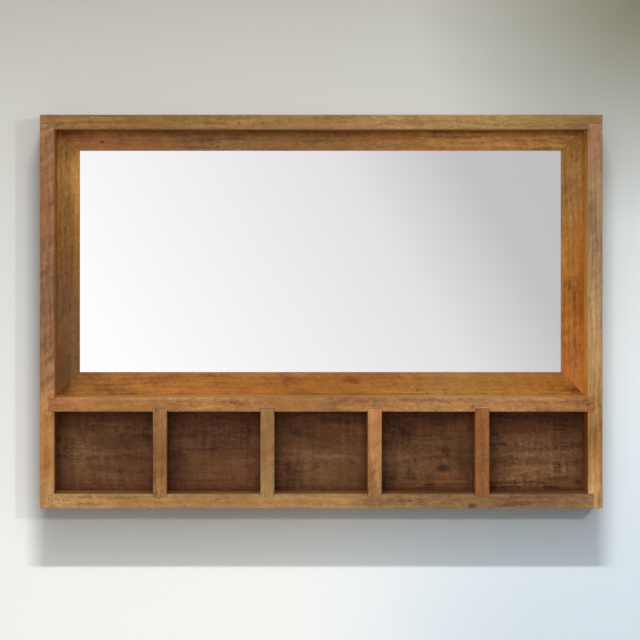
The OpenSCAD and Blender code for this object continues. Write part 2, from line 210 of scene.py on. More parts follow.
sheet_of("floor", [(-ROOM_HALF, -ROOM_HALF, FLOOR_Z), (ROOM_HALF, -ROOM_HALF, FLOOR_Z),
                   (ROOM_HALF, ROOM_HALF, FLOOR_Z), (-ROOM_HALF, ROOM_HALF, FLOOR_Z)], floor_paint)


# Light. A wide softbox above and in front of the shelf shades it from the top, a larger one farther
# off fills it, and one behind the wall lights the back. Three more light only the wall.
SHELF_MIDDLE = (0, -0.05, -0.34)


def softbox(name, where, width, height, watts, in_mirror=True):
    """A rectangular lamp that points at the middle of the shelf."""
    lamp = bpy.data.lights.new(name, "AREA")
    lamp.shape = "RECTANGLE"
    lamp.size, lamp.size_y, lamp.energy = width, height, watts
    box = placed(name, lamp)
    box.location = where
    box.rotation_euler = (Vector(SHELF_MIDDLE) - Vector(where)).to_track_quat("-Z", "Y").to_euler()
    box.visible_glossy = in_mirror
    return box


def lamp_group(name, thing, state="INCLUDE"):
    """What a lamp lights: only that thing, or all but that thing where state is EXCLUDE."""
    group = bpy.data.collections.new(name)
    group.objects.link(thing)
    group.collection_objects[0].light_linking.link_state = state
    return group


key = softbox("key_softbox", (-0.35, -2.3, 1.5), 2.4, 0.9, 26)
fill = softbox("fill_softbox", (-0.9, -4.4, 0.15), 2.6, 1.5, 80, in_mirror=False)
softbox("back_softbox", (0.8, 2.6, 1.0), 2.0, 2.0, 60, in_mirror=False)
fill.light_linking.receiver_collection = lamp_group("unlit_wall", wall, "EXCLUDE")
lit_wall = lamp_group("lit_wall", wall)
wall_sky = softbox("wall_sky", (0.2, -2.0, 0.07), 2.0, 1.2, 15, in_mirror=False)
wall_sky.data.color = (0.74, 0.95, 1.0)
for lamp in (softbox("wall_strip", (0.0, -3.1, 2.75), 1.1, 0.1, 236),
             softbox("wall_side_lamp", (1.3, -3.6, 0.3), 0.12, 0.12, 40), wall_sky):
    lamp.light_linking.receiver_collection = lit_wall


def along_ramp(recipe, value, stops):
    """The colour that a value has among stops of (place, colour), the places from 0 to 1."""
    ramp = add(recipe, "ShaderNodeValToRGB", {0: value})
    elements = ramp.color_ramp.elements
    elements[0].position, elements[1].position = stops[0][0], stops[-1][0]
    for at, colour in stops[1:-1]:
        elements.new(at)
    for element, (at, colour) in zip(elements, stops):
        element.color = colour
    return ramp.outputs[0]


# The room that the mirror looks into: white on the left, falling off to a lavender grey wall on
# the right. Each stop is how far to the right a ray heads, counting some of its rise, and the
# colour there. Only the mirror and other gloss show it.
ROOM_AMBIENT = 0.38
MIRROR_SLANT = 0.6
MIRRORED_ROOM = [(-0.065, (255, 254, 255)), (0.034, (229, 226, 229)), (0.07, (197, 194, 197)),
                 (0.3, (176, 172, 177))]
world = bpy.data.worlds.new("room")
bpy.context.scene.world = world
world.use_nodes = True
recipe = world.node_tree
recipe.nodes.clear()
heading = add(recipe, "ShaderNodeTexCoord").outputs["Generated"]
heading = add(recipe, "ShaderNodeSeparateXYZ", {0: heading}).outputs
across = reckon(recipe, "MULTIPLY_ADD", heading["Z"], MIRROR_SLANT, heading["X"])
leftmost, rightmost = MIRRORED_ROOM[0][0], MIRRORED_ROOM[-1][0]
mirrored_room = along_ramp(recipe, evenly(recipe, across, leftmost, rightmost),
                           [((heading_x - leftmost) / (rightmost - leftmost), on_screen(*colour))
                            for heading_x, colour in MIRRORED_ROOM])
ray = add(recipe, "ShaderNodeLightPath").outputs
mirrored = reckon(recipe, "MAXIMUM", ray["Is Glossy Ray"], ray["Is Transmission Ray"])
ambient = {"Color": on_screen(250, 250, 252), "Strength": ROOM_AMBIENT}
room_light = add(recipe, "ShaderNodeBackground", ambient).outputs[0]
room_seen = add(recipe, "ShaderNodeBackground", {"Color": on_screen(214, 214, 212)}).outputs[0]
room_mirrored = add(recipe, "ShaderNodeBackground", {"Color": mirrored_room}).outputs[0]
lighting = add(recipe, "ShaderNodeMixShader", {0: mirrored, 1: room_light, 2: room_mirrored}).outputs[0]
surroundings = add(recipe, "ShaderNodeMixShader", {0: ray["Is Camera Ray"], 1: lighting, 2: room_seen})
add(recipe, "ShaderNodeOutputWorld", {"Surface": surroundings.outputs[0]})


# Top board. One mango plank over both sides, its ends rebated from below to take them. Planed,
# glued, sanded flush with the other boards and waxed.
def shared_effect(name, inputs, outputs):
    """An empty shader group with those sockets, given as {name: default} and [name, ...]."""
    effect = bpy.data.node_groups.new(name, "ShaderNodeTree")
    for socket, default in inputs.items():
        kind = "NodeSocketVector" if isinstance(default, tuple) else "NodeSocketFloat"
        effect.interface.new_socket(socket, in_out="INPUT", socket_type=kind).default_value = default
    for socket in outputs:
        effect.interface.new_socket(socket, in_out="OUTPUT", socket_type="NodeSocketFloat")
    return effect, effect.nodes.new("NodeGroupInput").outputs


def reckon_place(recipe, operation, first, second=(0, 0, 0), scale=1.0):
    """The vector of a Vector Math node."""
    sockets = {0: first, "Scale": scale} if operation == "SCALE" else {0: first, 1: second}
    return add(recipe, "ShaderNodeVectorMath", sockets, operation=operation).outputs[0]


def length_of(recipe, vector):
    """How long a vector is."""
    return add(recipe, "ShaderNodeVectorMath", {0: vector}, operation="LENGTH").outputs["Value"]


def grain_noise(recipe, place, per_metre, detail=0.0, roughness=0.5):
    """Noise with so many waves in a metre along the grain, across it and through the board."""
    return noise_at(recipe, reckon_place(recipe, "MULTIPLY", place, per_metre), 1.0, detail, roughness)


def weigh_in(recipe, total, value, weight):
    """total, plus the value's distance from a half times its weight."""
    return reckon(recipe, "MULTIPLY_ADD", reckon(recipe, "SUBTRACT", value, 0.5), weight, total)


# Mango grain. X of Position runs along the grain. Growth rings lie round a heart line, so flat
# faces show cathedral figure and end grain shows arcs, and the grain parts round up to two knots.
mango_grain, given = shared_effect(
    "mango_grain",
    {"Position": (0.0, 0.0, 0.0), "Heart": (0.0, 0.0, 0.0), "Seed": 0.0, "Ring Width": 0.006,
     "Wander": 0.022, "Swirl": 0.009, "Ring Weight": 0.2, "Band Weight": 0.9, "Streak Weight": 0.6,
     "Strand Weight": 0.95, "Speck Weight": 0.7, "Curl Weight": 0.6, "Blotch Weight": 1.0,
     "Chatter Weight": 0.2, "Knot": (0.0, 0.0, 0.0), "Knot Size": 0.0001,
     "Second Knot": (0.0, 0.0, 0.0), "Second Knot Size": 0.0001},
    ["Tone", "Blush", "Olive", "Flecks", "Pores", "Knots", "Halo", "Relief"])
recipe = mango_grain
ACROSS = (0.0, 1.0, 1.0)
SEED_STEP = (1.7, 3.1, 2.3)
KNOT_SHAPE = (0.6, 0.7, 1.0)
KNOT_RAGGEDNESS, KNOT_SPREAD = 0.9, -0.12
PARTED = (0.0, 0.0, -0.8)
CURL_SLANT = (1.0, 0.45, 0.6)
seeded = reckon_place(recipe, "ADD", given["Position"],
                      reckon_place(recipe, "SCALE", SEED_STEP, scale=given["Seed"]))
drift = (0.0, 0.0, 0.0)
for per_metre, detail, reach in (((2.6, 11.0, 11.0), 2.0, "Wander"), ((9.0, 28.0, 28.0), 1.0, "Swirl")):
    push = grain_noise(recipe, seeded, per_metre, detail)["Color"]
    push = reckon_place(recipe, "MULTIPLY", reckon_place(recipe, "SUBTRACT", push, (0.5, 0.5, 0.5)), ACROSS)
    drift = reckon_place(recipe, "ADD", drift, reckon_place(recipe, "SCALE", push, scale=given[reach]))
knots, halo = 0.0, 0.0
for knot in ("Knot", "Second Knot"):
    from_knot = reckon_place(recipe, "SUBTRACT", given["Position"], given[knot])
    ratio = length_of(recipe, reckon_place(recipe, "MULTIPLY", from_knot, KNOT_SHAPE))
    ratio = reckon(recipe, "DIVIDE", ratio, given[knot + " Size"])
    ragged = grain_noise(recipe, seeded, (120.0, 120.0, 120.0), 2.0)[0]
    ratio = weigh_in(recipe, ratio, ragged, KNOT_RAGGEDNESS)
    spread = reckon(recipe, "MULTIPLY", reckon(recipe, "POWER", ratio, 2.0), KNOT_SPREAD)
    spread = reckon(recipe, "POWER", math.e, spread)
    parted = reckon_place(recipe, "MULTIPLY", from_knot, PARTED)
    drift = reckon_place(recipe, "ADD", drift, reckon_place(recipe, "SCALE", parted, scale=spread))
    solid = reckon(recipe, "SUBTRACT", 1.0, above(recipe, ratio, 0.35, 1.2))
    knots = reckon(recipe, "MAXIMUM", knots, solid)
    halo = reckon(recipe, "MAXIMUM", halo, spread)
bent = reckon_place(recipe, "ADD", seeded, drift)
from_heart = reckon_place(recipe, "ADD", given["Position"], drift)
from_heart = reckon_place(recipe, "SUBTRACT", from_heart, given["Heart"])
from_heart = length_of(recipe, reckon_place(recipe, "MULTIPLY", from_heart, ACROSS))
years = reckon(recipe, "DIVIDE", from_heart, given["Ring Width"])
years = reckon(recipe, "MULTIPLY_ADD", grain_noise(recipe, bent, (0.8, 24.0, 24.0), 1.0)[0], 2.5, years)
rings = reckon(recipe, "SINE", reckon(recipe, "MULTIPLY", years, math.tau))
rings = reckon(recipe, "MULTIPLY_ADD", rings, 0.5, 0.5)
bands = grain_noise(recipe, bent, (1.8, 38.0, 38.0), 3.0, 0.55)[0]
streaks = grain_noise(recipe, bent, (7.0, 130.0, 130.0), 2.0, 0.6)[0]
strands = grain_noise(recipe, bent, (70.0, 250.0, 250.0), 3.0, 0.6)[0]
specks = grain_noise(recipe, bent, (170.0, 400.0, 400.0), 1.0)[0]
fibres = grain_noise(recipe, bent, (42.0, 560.0, 560.0), 2.0, 0.6)[0]
blotches = grain_noise(recipe, seeded, (13.0, 36.0, 36.0), 3.0, 0.55)[0]
chatter = grain_noise(recipe, seeded, (110.0, 14.0, 14.0), 3.0, 0.6)[0]
slant = add(recipe, "ShaderNodeVectorMath", {0: bent, 1: CURL_SLANT}, operation="DOT_PRODUCT")
bent_apart = add(recipe, "ShaderNodeSeparateXYZ", {0: bent}).outputs
slanted = {"X": slant.outputs["Value"], "Y": bent_apart["Y"], "Z": bent_apart["Z"]}
slanted = add(recipe, "ShaderNodeCombineXYZ", slanted).outputs[0]
curl = grain_noise(recipe, slanted, (74.0, 12.0, 12.0), 2.0)[0]
tone = weigh_in(recipe, 0.5, fibres, 0.4)
for figure, weight in ((rings, "Ring Weight"), (bands, "Band Weight"), (streaks, "Streak Weight"),
                       (strands, "Strand Weight"), (specks, "Speck Weight"), (curl, "Curl Weight"),
                       (blotches, "Blotch Weight"), (chatter, "Chatter Weight")):
    tone = weigh_in(recipe, tone, figure, given[weight])
tone = add(recipe, "ShaderNodeClamp", {"Value": tone}).outputs[0]
hues = grain_noise(recipe, bent, (7.0, 26.0, 26.0), 3.0)["Color"]
hues = add(recipe, "ShaderNodeSeparateXYZ", {0: hues}).outputs
blush, olive = above(recipe, hues["X"], 0.4, 0.66), above(recipe, hues["Y"], 0.42, 0.66)
fleck_noise = grain_noise(recipe, bent, (85.0, 520.0, 520.0), 1.0)[0]
fleck_patch = above(recipe, grain_noise(recipe, seeded, (8.0, 16.0, 16.0))[0], 0.42, 0.66)
flecks = reckon(recipe, "MULTIPLY", above(recipe, fleck_noise, 0.6, 0.78), fleck_patch)
pores = above(recipe, grain_noise(recipe, bent, (190.0, 2200.0, 2200.0))[0], 0.58, 0.72)
depth = reckon(recipe, "MULTIPLY_ADD", pores, -0.8, reckon(recipe, "MULTIPLY_ADD", strands, 0.5, fibres))
depth = reckon(recipe, "MULTIPLY_ADD", flecks, -0.6, depth)
add(recipe, "NodeGroupOutput", {"Tone": tone, "Blush": blush, "Olive": olive, "Flecks": flecks,
                                "Pores": pores, "Knots": knots, "Halo": halo, "Relief": depth})

# Edge wear. A mask that is 1 on the rubbed edges of a board whose corners are Low and High, and
# falls off within Reach of them, unevenly.
edge_wear, given = shared_effect(
    "edge_wear",
    {"Position": (0.0, 0.0, 0.0), "Low": (0.0, 0.0, 0.0), "High": (1.0, 1.0, 1.0), "Reach": 0.0025,
     "Unevenness": 0.8},
    ["Worn"])
recipe = edge_wear
inside = reckon_place(recipe, "MINIMUM", reckon_place(recipe, "SUBTRACT", given["Position"], given["Low"]),
                      reckon_place(recipe, "SUBTRACT", given["High"], given["Position"]))
gap = add(recipe, "ShaderNodeSeparateXYZ", {0: inside}).outputs
nearer = reckon(recipe, "MINIMUM", gap["X"], gap["Y"])
farther = reckon(recipe, "MAXIMUM", gap["X"], gap["Y"])
to_edge = reckon(recipe, "MAXIMUM", nearer, reckon(recipe, "MINIMUM", farther, gap["Z"]))
rub = noise_at(recipe, given["Position"], 45.0, 3.0)[0]
rub = weigh_in(recipe, 1.0, rub, reckon(recipe, "MULTIPLY", given["Unevenness"], 2.0))
worn = reckon(recipe, "DIVIDE", to_edge, reckon(recipe, "MULTIPLY", given["Reach"], rub))
worn = reckon(recipe, "SUBTRACT", 1.0, worn)
add(recipe, "NodeGroupOutput", {"Worn": add(recipe, "ShaderNodeClamp", {"Value": worn}).outputs[0]})

# Painted light and shade. A mask for a tint painted beside a wall as shade or light, at a given
# distance from it, on faces that look the right way.
corner_light_and_shade, given = shared_effect(
    "corner_light_and_shade", {"Position": (0.0, 0.0, 0.0), "Distance": 1.0, "Reach": 0.01, "Facing": 1.0}, ["Painted Shading"])
recipe = corner_light_and_shade
rub = noise_at(recipe, given["Position"], 70.0)[0]
ratio = reckon(recipe, "DIVIDE", reckon(recipe, "MAXIMUM", given["Distance"], 0.0), given["Reach"])
ratio = reckon(recipe, "MULTIPLY", ratio, weigh_in(recipe, 1.0, rub, 1.2))
ratio = reckon(recipe, "MULTIPLY", reckon(recipe, "POWER", ratio, 1.5), -1.0)
light_and_shade = reckon(recipe, "POWER", math.e, ratio)
light_and_shade = reckon(recipe, "MULTIPLY", light_and_shade, above(recipe, given["Facing"], 0.75, 0.97))
add(recipe, "NodeGroupOutput", {"Painted Shading": light_and_shade})

# Spalt. A mask for a soft-edged patch of discoloured wood that reaches so far from its centre
# along the grain, through the board and across it, and is ragged along the grain.
spalt, given = shared_effect(
    "spalt", {"Position": (0.0, 0.0, 0.0), "Centre": (0.0, 0.0, 0.0), "Reach": (0.02, 0.02, 0.02)}, ["Patch"])
recipe = spalt
ragged = grain_noise(recipe, given["Position"], (55.0, 150.0, 150.0), 3.0, 0.6)[0]
away = reckon_place(recipe, "SUBTRACT", given["Position"], given["Centre"])
away = length_of(recipe, reckon_place(recipe, "DIVIDE", away, given["Reach"]))
away = weigh_in(recipe, away, ragged, 1.5)
patch = reckon(recipe, "SUBTRACT", 1.0, above(recipe, away, 0.25, 1.25))
add(recipe, "NodeGroupOutput", {"Patch": patch})

ALONG_X = (0.0, 0.0, 0.0)
ALONG_Z = (0.0, math.radians(90), 0.0)


def in_grain(place, grain):
    """A place in the room, as the grain of a board that runs along X or Z has it."""
    x, y, z = place
    return (x, y, z) if grain == ALONG_X else (z, y, -x)


OUTWARD, UPWARD, LEFTWARD, RIGHTWARD = ("Y", -1), ("Z", 1), ("X", -1), ("X", 1)
WHITE = (1.0, 1.0, 1.0, 1.0)
PALEST_WOOD = (0.8, 0.66, 0.5)
ROSY_SHARE, OLIVE_SHARE = 0.5, 0.4
FLECK_SHARE, PORE_SHARE, KNOT_SHARE = 0.5, 0.35, 0.75
OLIVE_CAST = (0.98, 1.04, 0.86)
BURNT, RUBBED_PALE, RUBBED_LIMIT = 0.55, 1.18, 250
END_GRAIN_LOSS = -0.3
WORN = 0.15
WAX_DEPTH, WAX_DULLNESS, WAX_GLOSS, WAX_IOR = 0.0003, 0.66, 0.28, 1.46


def tinted(recipe, colour, share, tint):
    """The colour, multiplied by the tint where share is 1."""
    return reckon_place(recipe, "MULTIPLY", colour, shade(recipe, share, WHITE, (*tint, 1.0)))


def mango(name, board, grain, pale, dark, rosy, seed, heart=(0.06, -0.05), toning=(), knots=(),
          spalts=(), light_and_shade=(), **figure):
    """Waxed mango wood for a board. Its colours are on-screen ones, and heart is where the tree's
    heart lies from its middle, through the board and across it. toning is (share of its length,
    tint), knots are (place, size), spalts are (place, reach, tint), and the painted light and shade
    is (axis, middle and half thickness of the wall or bay that it lies at, reach beyond it, tint, way
    that the face looks)."""
    low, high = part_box(board)
    finish, recipe = blank_finish(name)
    here = add(recipe, "ShaderNodeTexCoord").outputs
    here_apart = add(recipe, "ShaderNodeSeparateXYZ", {0: here["Object"]}).outputs
    along_grain = add(recipe, "ShaderNodeMapping", {"Vector": here["Object"], "Rotation": grain}).outputs[0]
    middle = in_grain((low + high) / 2, grain)
    sockets = {"Position": along_grain, "Heart": (middle[0], middle[1] + heart[0], middle[2] + heart[1]),
               "Seed": seed}
    for socket, (place, size) in zip(("Knot", "Second Knot"), knots):
        sockets[socket], sockets[socket + " Size"] = in_grain(place, grain), size
    for word, value in figure.items():
        sockets[word.replace("_", " ").title()] = value
    shown = add(recipe, "ShaderNodeGroup", sockets, node_tree=mango_grain).outputs

    colour = shade(recipe, shown["Tone"], on_screen(*dark), on_screen(*pale))
    warm = reckon(recipe, "MULTIPLY", shown["Blush"], ROSY_SHARE)
    warm = reckon(recipe, "MULTIPLY_ADD", shown["Halo"], ROSY_SHARE, warm)
    colour = shade(recipe, warm, colour, on_screen(*rosy))
    olive = on_screen(*((r + q) / 2 * share for r, q, share in zip(pale, dark, OLIVE_CAST)))
    colour = shade(recipe, reckon(recipe, "MULTIPLY", shown["Olive"], OLIVE_SHARE), colour, olive)
    for place, reach, tint in spalts:
        sockets = {"Position": along_grain, "Centre": in_grain(place, grain), "Reach": reach}
        patch = add(recipe, "ShaderNodeGroup", sockets, node_tree=spalt).outputs[0]
        colour = tinted(recipe, colour, patch, tint)
    spots = 0.0
    for spot, share in (("Flecks", FLECK_SHARE), ("Pores", PORE_SHARE), ("Knots", KNOT_SHARE)):
        spots = reckon(recipe, "MAXIMUM", spots, reckon(recipe, "MULTIPLY", shown[spot], share))
    colour = shade(recipe, spots, colour, on_screen(*(c * BURNT for c in dark)))
    sockets = {"Position": here["Object"], "Low": low, "High": high}
    edges = add(recipe, "ShaderNodeGroup", sockets, node_tree=edge_wear).outputs[0]
    rubbed = on_screen(*(min(c * RUBBED_PALE, RUBBED_LIMIT) for c in pale))
    colour = shade(recipe, reckon(recipe, "MULTIPLY", edges, WORN), colour, rubbed)
    normal = add(recipe, "ShaderNodeSeparateXYZ", {0: here["Normal"]}).outputs
    # Light and shade painted beside walls and bays, each tint fading with distance from its wall.
    for axis, wall_at, half, reach, tint, way in light_and_shade:
        off = reckon(recipe, "ABSOLUTE", reckon(recipe, "SUBTRACT", here_apart[axis], wall_at))
        sockets = {"Position": here["Object"], "Distance": reckon(recipe, "SUBTRACT", off, half),
                   "Reach": reach, "Facing": reckon(recipe, "MULTIPLY", normal[way[0]], way[1])}
        corner = add(recipe, "ShaderNodeGroup", sockets, node_tree=corner_light_and_shade).outputs[0]
        colour = tinted(recipe, colour, corner, tint)
    axis, ends = ("X", (low.x, high.x)) if grain == ALONG_X else ("Z", (low.z, high.z))
    if toning:
        halved = [(at, tuple(c / 2 for c in tint) + (1.0,)) for at, tint in toning]
        toned = along_ramp(recipe, evenly(recipe, here_apart[axis], *ends), halved)
        toned = reckon_place(recipe, "SCALE", toned, scale=2.0)
        colour = reckon_place(recipe, "MULTIPLY", colour, toned)
    end_grain = above(recipe, reckon(recipe, "ABSOLUTE", normal[axis]), 0.6, 0.95)
    end_grain = reckon(recipe, "MULTIPLY_ADD", end_grain, END_GRAIN_LOSS, 1.0)
    colour = reckon_place(recipe, "SCALE", colour, scale=end_grain)
    colour = reckon_place(recipe, "MINIMUM", colour, PALEST_WOOD)
    dullness = reckon(recipe, "MULTIPLY_ADD", shown["Relief"], -0.14, WAX_DULLNESS)
    sockets = {"Base Color": colour, "Roughness": dullness, "IOR": WAX_IOR, "Specular IOR Level": WAX_GLOSS,
               "Normal": bumped(recipe, shown["Relief"], 0.4, WAX_DEPTH)}
    coat_with(recipe, add(recipe, "ShaderNodeBsdfPrincipled", sockets).outputs[0])
    return finish


ARRIS = 0.0009
JOINT_SHARE = 0.35
SHORTEST_EDGE = 0.004
LONGEST_JOINT = 0.06
SANDED_AWAY = 0.00025
SANDED_WAVES, SANDED_RIPPLES = 16, 41
FLAT, CORNER, SHARP = math.radians(1), math.radians(30), math.radians(35)


def cut_across(board, axis, step):
    """Divides every face at even steps along an axis."""
    low = min(v.co[axis] for v in board.verts)
    high = max(v.co[axis] for v in board.verts)
    count = max(round((high - low) / step), 1)
    normal = Vector([axis == 0, axis == 1, axis == 2])
    for i in range(1, count):
        bmesh.ops.bisect_plane(board, geom=board.verts[:] + board.edges[:] + board.faces[:], dist=1e-5,
                               plane_co=normal * (low + (high - low) * i / count), plane_no=normal)


def eased(node):
    """A sawn piece as a mesh with its long arrises rounded and its joint edges just broken."""
    sawn = bmesh.new()
    sawn.from_mesh(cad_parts[node].data)
    bmesh.ops.remove_doubles(sawn, verts=sawn.verts, dist=1e-6)
    bmesh.ops.dissolve_limit(sawn, angle_limit=FLAT, verts=sawn.verts, edges=sawn.edges)
    share = sawn.edges.layers.float.new("bevel_weight_edge")
    for edge in sawn.edges:
        length = edge.calc_length()
        if edge.is_convex and length > SHORTEST_EDGE and edge.calc_face_angle() > CORNER:
            edge[share] = 1.0 if length > LONGEST_JOINT else JOINT_SHARE
    mesh = bpy.data.meshes.new(node + "_sawn")
    sawn.to_mesh(mesh)
    sawn.free()
    blank = placed(node + "_sawn", mesh)
    plane = blank.modifiers.new("block_plane", "BEVEL")
    plane.limit_method = "WEIGHT"
    plane.width = ARRIS
    plane.segments = 3
    planed = bmesh.new()
    planed.from_mesh(blank.evaluated_get(bpy.context.evaluated_depsgraph_get()).to_mesh())
    bpy.data.objects.remove(blank)
    bpy.data.meshes.remove(mesh)
    return planed


def finished(node, finish, steps, on_show):
    """The finished piece in place of a sawn one, its faces divided at steps along X, Y and Z and
    sanded where on_show says so."""
    board = eased(node)
    for axis, step in enumerate(steps):
        cut_across(board, axis, step)
    board.normal_update()
    for vertex in board.verts:
        if on_show(vertex.co):
            wave = noise.noise(vertex.co * SANDED_WAVES) + 0.5 * noise.noise(vertex.co * SANDED_RIPPLES)
            vertex.co -= vertex.normal * SANDED_AWAY * max(1 + wave, 0) / 2
    mesh = bpy.data.meshes.new(node + "_finished")
    board.to_mesh(mesh)
    board.free()
    mesh.shade_smooth()
    mesh.set_sharp_from_angle(angle=SHARP)
    mesh.materials.append(finish)
    piece = placed(node + "_finished", mesh)
    piece.modifiers.new("even_shading", "WEIGHTED_NORMAL").keep_sharp = True
    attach(piece, "root")
    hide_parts(node)
    return piece


SKIN = 0.0016


def on_carcass_skin(co):
    """True on the outer faces of the assembled carcass, which are sanded in one go."""
    low, high = sawn_box
    return (co.y < low.y + SKIN or abs(co.x) > high.x - SKIN
            or co.z > high.z - SKIN or co.z < low.z + SKIN)


STEPS_ALONG_X = (0.012, 0.010, 0.0065)
STEPS_ALONG_Z = (0.0065, 0.010, 0.012)

top_wood = mango("top_board_wood", "top_board", ALONG_X, (182, 140, 85), (107, 72, 38), (157, 108, 70),
                 seed=1.0, heart=(0.09, -0.06),
                 toning=[(0.0, (0.9, 0.8, 0.75)), (0.15, (0.75, 0.7, 0.55)), (0.35, (0.95, 0.95, 0.85)),
                         (0.55, (1.15, 1.15, 1.3)), (0.8, (1.2, 1.35, 1.35)), (1.0, (0.8, 0.8, 0.8))])
finished("top_board", top_wood, STEPS_ALONG_X, on_carcass_skin)


# Sides. Two mango planks with the grain upright. The shelf is housed in them, and the bottom board
# is let into their feet; the left one turns paler towards the cubbies.
CUBBY_TOP, CUBBY_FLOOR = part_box("middle_shelf")[0].z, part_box("bottom_board")[1].z
BAY_TOP, BAY_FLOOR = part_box("top_board")[0].z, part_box("middle_shelf")[1].z
BOARD_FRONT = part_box("left_side")[0].y
# The brown of the shade painted in the cubbies' corners.
BROWN_SHADE = (0.6, 0.45, 0.3)


def inner_face(way, amber):
    """Amber painted light on a side's inner face in the bay, and brown painted shade in the end cubby."""
    return [("Z", (BAY_TOP + BAY_FLOOR) / 2, (BAY_TOP - BAY_FLOOR) / 2, 0.008, amber, way),
            ("Z", (CUBBY_TOP + CUBBY_FLOOR) / 2, (CUBBY_TOP - CUBBY_FLOOR) / 2, 0.008, BROWN_SHADE, way)]


left_wood = mango("left_side_wood", "left_side", ALONG_Z, (180, 132, 85), (99, 64, 36), (162, 105, 68),
                  seed=2.3, heart=(0.07, 0.08), curl_weight=1.8, band_weight=0.6,
                  light_and_shade=inner_face(RIGHTWARD, (1.7, 1.55, 0.8)),
                  spalts=[((-0.488, BOARD_FRONT, -0.6), (0.024, 0.1, 0.008), (0.96, 0.78, 0.7))],
                  toning=[(0.0, (1.4, 1.65, 1.55)), (0.15, (1.3, 1.25, 1.0)), (0.27, (1.45, 1.4, 1.25)),
                          (0.34, (0.9, 0.9, 0.95)), (0.6, (0.7, 0.7, 0.8)), (0.78, (0.95, 0.9, 0.95)),
                          (1.0, (0.85, 0.85, 0.9))])
finished("left_side", left_wood, STEPS_ALONG_Z, on_carcass_skin)
right_wood = mango("right_side_wood", "right_side", ALONG_Z, (202, 159, 107), (129, 91, 57), (181, 131, 89),
                   seed=3.9, heart=(0.06, -0.09), band_weight=0.6, streak_weight=1.0, strand_weight=0.5,
                   speck_weight=0.35, curl_weight=0.7, light_and_shade=inner_face(LEFTWARD, (1.55, 1.2, 0.5)),
                   toning=[(0.0, (1.4, 1.45, 1.45)), (0.17, (0.9, 0.75, 0.45)), (0.35, (1.2, 1.3, 1.15)),
                           (0.6, (1.0, 1.0, 1.2)), (0.77, (0.8, 0.85, 1.0)), (1.0, (0.8, 0.7, 0.85))])
finished("right_side", right_wood, STEPS_ALONG_Z, on_carcass_skin)


# Bottom board. A mango plank let into both sides, with four housings for the dividers. Its right
# half is darker heartwood with marks left by the saw, and a knot on the lower arris.
PANEL_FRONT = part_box("cubby_back_panel")[0].y
# Shade is painted on its top towards the cubby back.
bottom_wood = mango("bottom_board_wood", "bottom_board", ALONG_X, (195, 152, 97), (110, 75, 46),
                    (174, 119, 75), seed=5.2, heart=(0.05, 0.07), band_weight=1.2, streak_weight=0.7,
                    light_and_shade=[("Y", PANEL_FRONT, 0.0, 0.045, (0.65, 0.55, 0.45), UPWARD)],
                    toning=[(0.0, (1.4, 1.45, 1.4)), (0.25, (0.9, 0.9, 0.85)), (0.5, (1.15, 1.15, 1.2)),
                            (0.72, (0.75, 0.75, 0.75)), (0.87, (0.95, 0.9, 1.0)), (1.0, (0.8, 0.85, 0.85))],
                    knots=[((0.2685, BOARD_FRONT, -0.682), 0.006)],
                    spalts=[((0.38, BOARD_FRONT, -0.674), (0.09, 0.1, 0.02), (0.78, 0.76, 0.8)),
                            ((-0.348, BOARD_FRONT, -0.668), (0.03, 0.1, 0.004), (0.72, 0.7, 0.66)),
                            ((-0.425, BOARD_FRONT, -0.679), (0.05, 0.1, 0.003), (0.78, 0.76, 0.74))])
finished("bottom_board", bottom_wood, STEPS_ALONG_X, on_carcass_skin)


# Middle shelf. A redder mango plank housed in both sides, with four housings in its underside.
# Its top face is painted lighter, as painted light, and a painted highlight runs along the top
# of its front; with them its lit top makes the pale line below the mirror.
shelf_wood = mango("middle_shelf_wood", "middle_shelf", ALONG_X, (203, 144, 86), (115, 71, 40),
                   (182, 115, 69), seed=6.6, heart=(0.08, 0.05), curl_weight=0.5,
                   light_and_shade=[("Y", BOARD_FRONT, 1.0, 1.0, (1.65, 2.0, 2.1), UPWARD),
                        ("Z", BAY_FLOOR, 0.0, 0.003, (1.35, 1.5, 1.65), OUTWARD)],
                   toning=[(0.0, (0.85, 0.75, 0.75)), (0.25, (1.05, 1.1, 1.0)), (0.55, (0.9, 0.9, 0.9)),
                           (0.77, (1.15, 1.25, 1.3)), (1.0, (0.9, 0.8, 0.8))],
                   spalts=[((0.016, BOARD_FRONT, -0.502), (0.022, 0.05, 0.016), (0.72, 0.76, 0.82))])
finished("middle_shelf", shelf_wood, STEPS_ALONG_X, on_carcass_skin)


# Dividers. Four short mango boards with the grain upright, housed in the shelf and the bottom
# board. Each is cut from another plank, so their colours differ.
DIVIDER_LOOKS = [
    ("divider_1", (175, 126, 74), (105, 66, 35), (149, 93, 52), 7.1,
     [(0.0, (1.15, 1.15, 1.2)), (0.5, (0.8, 0.75, 0.7)), (1.0, (1.25, 1.35, 1.45))]),
    ("divider_2", (181, 141, 87), (106, 75, 45), (156, 111, 67), 8.4,
     [(0.0, (1.1, 1.3, 1.3)), (0.5, (1.0, 0.9, 0.9)), (1.0, (0.9, 0.9, 0.9))]),
    ("divider_3", (198, 142, 87), (129, 83, 46), (179, 112, 64), 9.8,
     [(0.0, (0.8, 0.9, 0.9)), (0.5, (1.0, 1.0, 1.0)), (1.0, (1.2, 1.05, 1.15))]),
    ("divider_4", (177, 119, 67), (98, 57, 29), (150, 86, 46), 10.5,
     [(0.0, (0.95, 0.85, 0.9)), (0.5, (1.1, 1.15, 1.15)), (1.0, (0.85, 0.85, 0.8))]),
]
